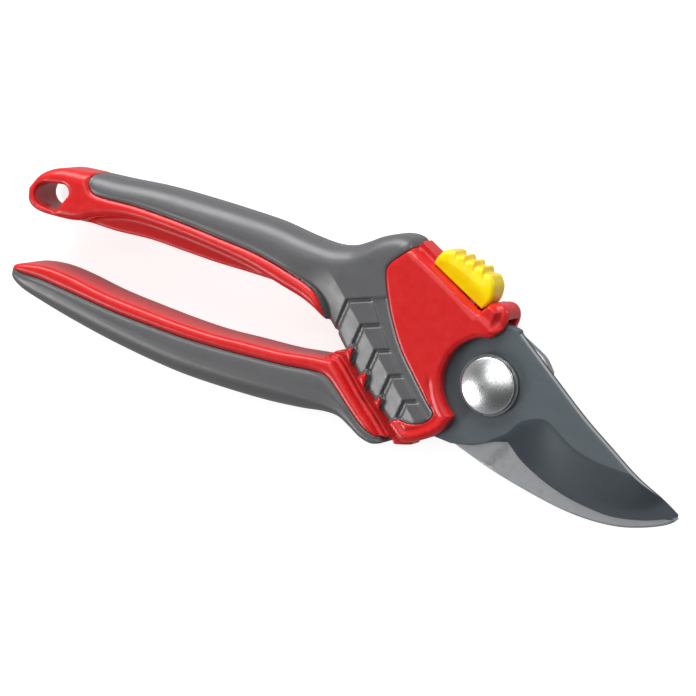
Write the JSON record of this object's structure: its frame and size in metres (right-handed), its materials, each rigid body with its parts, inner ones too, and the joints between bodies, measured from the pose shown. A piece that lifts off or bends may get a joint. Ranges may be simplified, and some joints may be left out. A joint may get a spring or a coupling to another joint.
{
  "type": "pruning shears",
  "caption": "Bypass pruning shears with hooked counter blade, domed pivot bolt, thumb lock on the head and soft overmoulded handles.",
  "frame": {"origin": "on the pivot axis, at the back face of the pivot nut, which the shears rest on", "axes": "+X along the shears towards the blade tips, +Y towards the thumb side of the head, +Z along the pivot towards the domed bolt head"},
  "size_m": [0.2151, 0.0654, 0.0173],
  "materials": {
    "red_plastic": "smooth moulded, semi-gloss",
    "grey_grip": "soft matt overmoulding",
    "coated_blade": "dark non-stick coating, satin",
    "hook_steel": "ground, satin",
    "bolt_chrome": "turned and polished",
    "fastener_steel": "zinc plated",
    "spring_steel": "drawn wire, oiled",
    "yellow_plastic": "glossy moulded",
    "bushing_brass": "sintered, oiled"
  },
  "bodies": {
    "upper": {"upper_handle_core": "red_plastic", "upper_grip": "grey_grip", "counter_blade": "hook_steel", "counter_blade_rivets": "fastener_steel", "pivot_bolt": "bolt_chrome", "pivot_collar": "bolt_chrome", "wave_washer": "spring_steel", "lock_washer": "fastener_steel", "pivot_nut": "fastener_steel", "spring_post": "fastener_steel", "return_spring": "spring_steel"},
    "lower": {"lower_handle_core": "red_plastic", "lower_grip": "grey_grip", "cutting_blade": "coated_blade", "cutting_blade_rivets": "fastener_steel", "blade_bushing": "bushing_brass"},
    "lock": {"lock_slider": "yellow_plastic", "lock_tongue": "fastener_steel", "detent_spring": "spring_steel"}
  },
  "joints": [
    {"name": "blade_pivot", "type": "hinge", "parent": "upper", "child": "lower", "pos_m": [0, 0, 0.0112], "axis": [0, 0, 1], "range_deg": [0, 36], "stiffness_Nm_per_rad": 0.6, "springref_deg": 42.97, "deforming": ["return_spring"]},
    {"name": "lock_slide", "type": "slide", "parent": "upper", "child": "lock", "axis": [-0.9336, 0.3584, 0], "range_m": [0, 0.004]}
  ]
}
